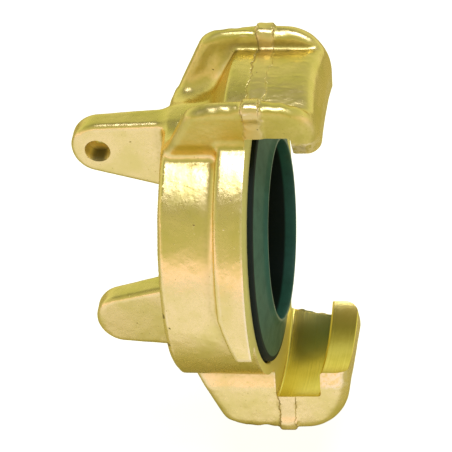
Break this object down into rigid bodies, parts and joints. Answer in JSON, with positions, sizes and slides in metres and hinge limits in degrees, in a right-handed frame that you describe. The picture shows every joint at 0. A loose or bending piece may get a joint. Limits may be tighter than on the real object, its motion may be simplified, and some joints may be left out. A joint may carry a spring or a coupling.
{
  "type": "claw hose coupling blank cap",
  "caption": "Forged brass claw coupling cap with two hooked claws, bayonet flange, finger wings and a rubber seal, closing a hose line by a twist.",
  "frame": {"origin": "centre of the machined front face, on the coupling's axis", "axes": "+X along the axis, out of the mouth towards the other coupling; +Z through the middle of the claw above which the pierced wing lies; +Y completes the frame"},
  "size_m": [0.0343, 0.0442, 0.0548],
  "materials": {
    "forged_brass": "forged and tumbled, turned bright where machined",
    "seal_rubber": "smooth satin"
  },
  "bodies": {
    "root": {"coupling_body": "forged_brass", "seal_ring": "seal_rubber"}
  },
  "joints": []
}
